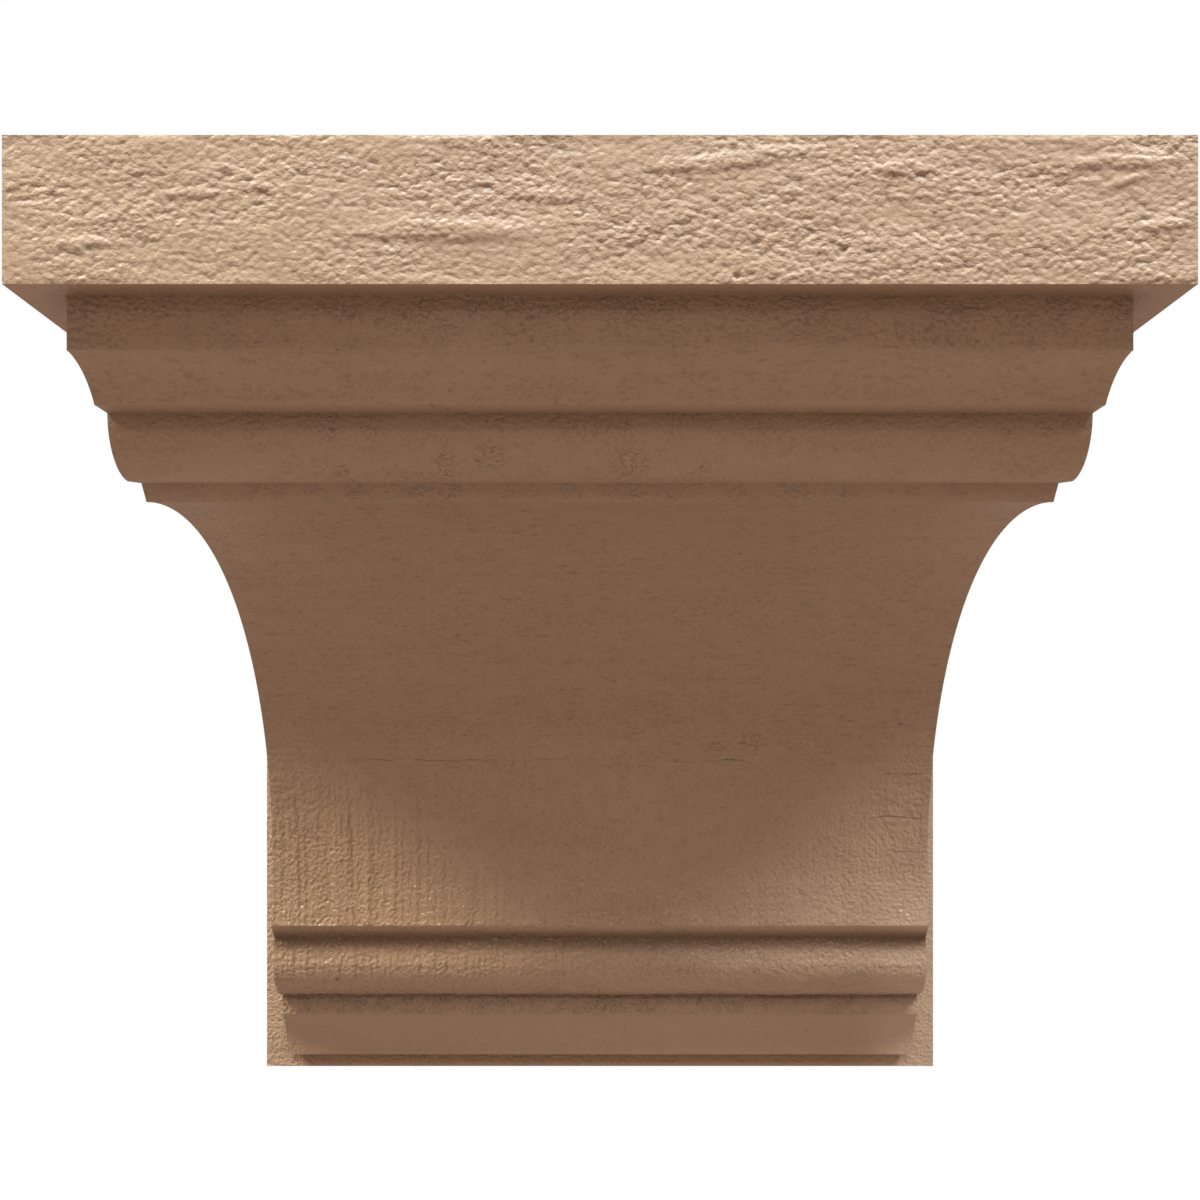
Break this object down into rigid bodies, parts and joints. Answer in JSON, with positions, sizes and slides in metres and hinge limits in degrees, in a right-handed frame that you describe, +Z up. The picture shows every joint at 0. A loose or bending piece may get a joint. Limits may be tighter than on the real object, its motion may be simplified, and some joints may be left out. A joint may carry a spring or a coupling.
{
  "type": "urethane corbel",
  "caption": "Cast urethane corbel with rough timber texture: square top slab and back plate, moulded bracket body with a big quarter-round cove.",
  "frame": {"origin": "middle of the flat back of the plate, where the corbel meets the wall", "axes": "+Z up, +Y into the wall along the normal of the back, so the front faces -Y, and +X to the right seen from the front"},
  "size_m": [0.2032, 0.2032, 0.2032],
  "materials": {
    "cast_urethane": "tan primed cast urethane with a rough-sawn timber texture, nearly matt with a slight sheen"
  },
  "bodies": {
    "root": {"corbel": "cast_urethane"}
  },
  "joints": []
}
